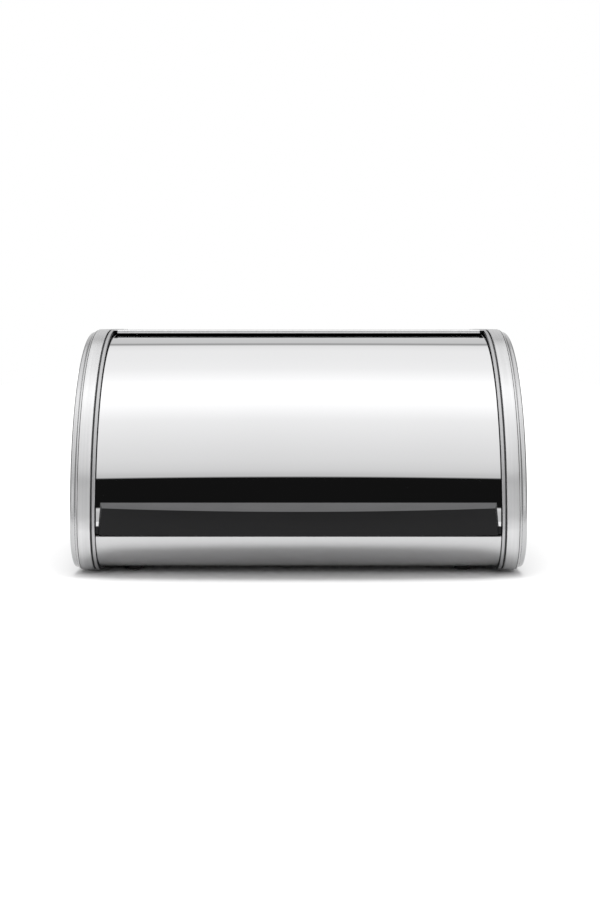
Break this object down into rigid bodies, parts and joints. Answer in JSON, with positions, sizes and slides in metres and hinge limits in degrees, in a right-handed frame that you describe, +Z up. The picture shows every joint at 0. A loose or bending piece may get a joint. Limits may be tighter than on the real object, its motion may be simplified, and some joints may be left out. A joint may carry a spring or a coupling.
{
  "type": "bread box with roll top",
  "caption": "Long steel bread box with a quarter-round front, a mirror-polished lid that rolls up and back under the flat top, brushed end caps and a black bowed handle.",
  "frame": {"origin": "on the floor below the feet, under the middle of the box's width and of its depth with the handle", "axes": "+X along the box to the right end as seen from the front, -Y out of the round front, +Z up"},
  "size_m": [0.445, 0.366, 0.241],
  "materials": {
    "mirror_steel": "mirror-polished stainless steel with faint polishing lines along the box",
    "brushed_steel": "stainless steel brushed round the end caps",
    "satin_steel": "satin stainless sheet, grain along the box",
    "grey_moulding": "dark grey moulded plastic, fine grain",
    "black_moulding": "satin black moulded plastic",
    "rubber": "matt black rubber",
    "fastener_steel": "bright plated steel"
  },
  "bodies": {
    "housing": {"body_wrap": "satin_steel", "floor_pan": "satin_steel", "front_apron": "mirror_steel", "left_end_panel": "grey_moulding", "right_end_panel": "grey_moulding", "left_cap_band": "brushed_steel", "right_cap_band": "brushed_steel", "left_cap_cover": "brushed_steel", "right_cap_cover": "brushed_steel", "left_trim_bead": "mirror_steel", "right_trim_bead": "mirror_steel", "cover_screws": "fastener_steel", "seam_rivets": "fastener_steel", "front_left_foot": "rubber", "front_right_foot": "rubber", "rear_left_foot": "rubber", "rear_right_foot": "rubber", "left_pivot_pin": "fastener_steel", "right_pivot_pin": "fastener_steel", "left_closing_pad": "rubber", "right_closing_pad": "rubber", "left_open_stop": "rubber", "right_open_stop": "rubber"},
    "lid": {"lid_sheet": "mirror_steel", "lid_handle": "black_moulding", "left_lid_arm": "satin_steel", "right_lid_arm": "satin_steel", "left_pivot_bush": "black_moulding", "right_pivot_bush": "black_moulding", "lid_brace": "satin_steel", "handle_screws": "fastener_steel", "arm_rivets": "fastener_steel"}
  },
  "joints": [
    {"name": "lid_roll", "type": "hinge", "parent": "housing", "child": "lid", "pos_m": [0, 0.026, 0.048], "axis": [-1, 0, 0], "range_deg": [0, 58]}
  ]
}
